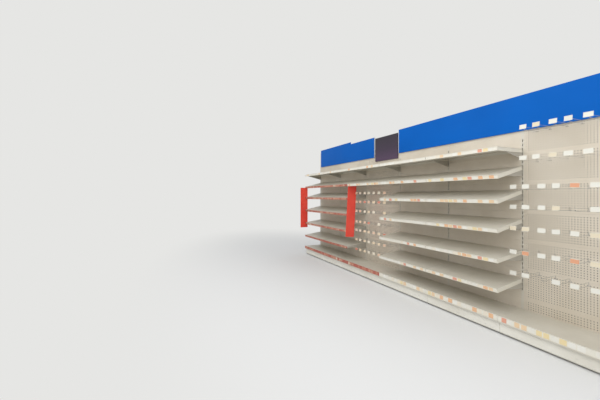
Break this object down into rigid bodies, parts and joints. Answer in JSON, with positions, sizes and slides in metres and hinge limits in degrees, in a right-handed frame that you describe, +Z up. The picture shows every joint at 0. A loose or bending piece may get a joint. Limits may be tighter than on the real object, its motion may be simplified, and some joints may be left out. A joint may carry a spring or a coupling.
{
  "type": "shop wall shelving run",
  "caption": "Run of shop wall shelving: slotted posts, sloping steel shelves on tapered brackets, perforated hook bays, divider fins and a header band above.",
  "frame": {"origin": "on the floor under the middle of the run, half-way along it and half-way between the wall side of the posts and the front edge of the far divider fin", "axes": "+X along the run towards bay 1, the near end in the picture, -Y out of the shelves towards the shopper, +Y towards the wall, +Z up"},
  "size_m": [6.04, 0.6622, 2.765],
  "materials": {
    "edge_trim": "matt",
    "fin_red": "sheet, gloss",
    "foot_steel": "zinc plated",
    "frame_steel": "cream-white powder coat, semi-matt",
    "header_blue": "satin paint",
    "hook_wire": "bright plated wire",
    "panel_steel": "cream-white powder coat, semi-matt",
    "picture_panel": "matt print, bare",
    "shelf_steel": "cream-white powder coat, semi-matt",
    "ticket_strip_red": "extruded, satin",
    "ticket_strip_white": "extruded, satin"
  },
  "bodies": {
    "root": {"back_panels_bay_1": "panel_steel", "back_panels_bay_2": "panel_steel", "back_panels_bay_3": "panel_steel", "back_panels_bay_4": "panel_steel", "back_panels_bay_5": "panel_steel", "back_panels_bay_6": "panel_steel", "base_decks": "shelf_steel", "base_legs": "frame_steel", "divider_fin_far": "fin_red", "divider_fin_near": "fin_red", "header_board_far": "header_blue", "header_board_near": "header_blue", "header_end_trims": "edge_trim", "header_picture_panel": "picture_panel", "header_posts": "frame_steel", "header_rails": "frame_steel", "levelling_feet": "foot_steel", "peg_hooks_bay_1": "hook_wire", "peg_hooks_bay_4": "hook_wire", "plinth_panels": "shelf_steel", "post_1": "frame_steel", "post_2": "frame_steel", "post_3": "frame_steel", "post_4": "frame_steel", "post_5": "frame_steel", "post_6": "frame_steel", "post_7": "frame_steel", "shelf_brackets_bay_2": "shelf_steel", "shelf_brackets_bay_3": "shelf_steel", "shelf_brackets_bay_4": "shelf_steel", "shelf_brackets_bay_5": "shelf_steel", "shelf_brackets_bay_6": "shelf_steel", "shelf_end_strips": "ticket_strip_white", "shelves_bay_2": "shelf_steel", "shelves_bay_3": "shelf_steel", "shelves_bay_4": "shelf_steel", "shelves_bay_5": "shelf_steel", "shelves_bay_6": "shelf_steel", "ticket_strips_bay_1": "ticket_strip_white", "ticket_strips_bay_2": "ticket_strip_white", "ticket_strips_bay_3": "ticket_strip_white", "ticket_strips_bay_4": "ticket_strip_white", "ticket_strips_bay_5": "ticket_strip_red", "ticket_strips_bay_6": "ticket_strip_red", "tie_beams": "frame_steel"}
  },
  "joints": []
}
